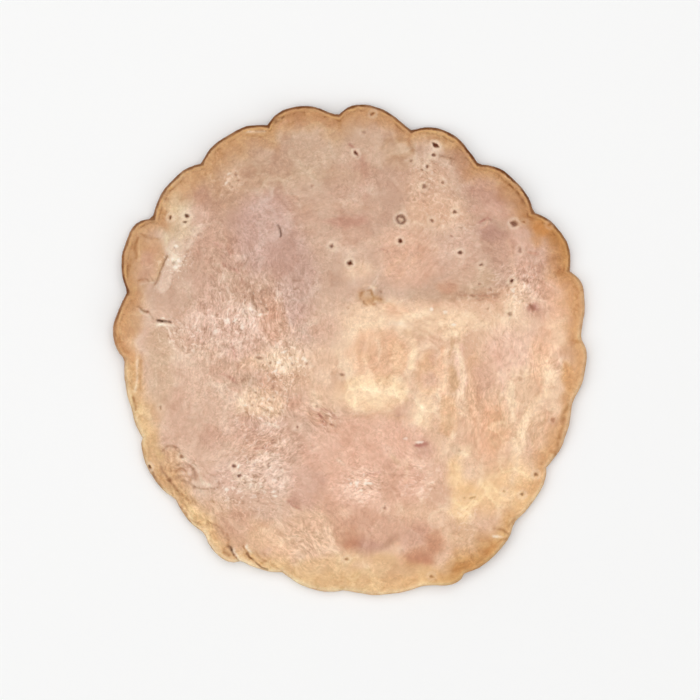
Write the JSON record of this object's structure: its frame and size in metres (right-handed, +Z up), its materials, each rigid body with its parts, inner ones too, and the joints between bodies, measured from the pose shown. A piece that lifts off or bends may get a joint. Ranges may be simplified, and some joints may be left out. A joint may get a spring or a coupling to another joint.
{
  "type": "honey roast turkey breast slice",
  "caption": "Thin round slice of honey roast turkey breast with a browned, net-scalloped rim and a gently wavy edge, lying flat on its cut face.",
  "frame": {"origin": "on the lower cut face, under the middle of the slice's outline", "axes": "+Z up through the slice's thickness, +Y towards the top of the slice as seen from above, +X to the right"},
  "size_m": [0.1046, 0.1084, 0.0037],
  "materials": {
    "meat": "moist satin meat, cream to pink, with a honey brown skin edge"
  },
  "bodies": {
    "root": {"turkey_slice": "meat"}
  },
  "joints": []
}
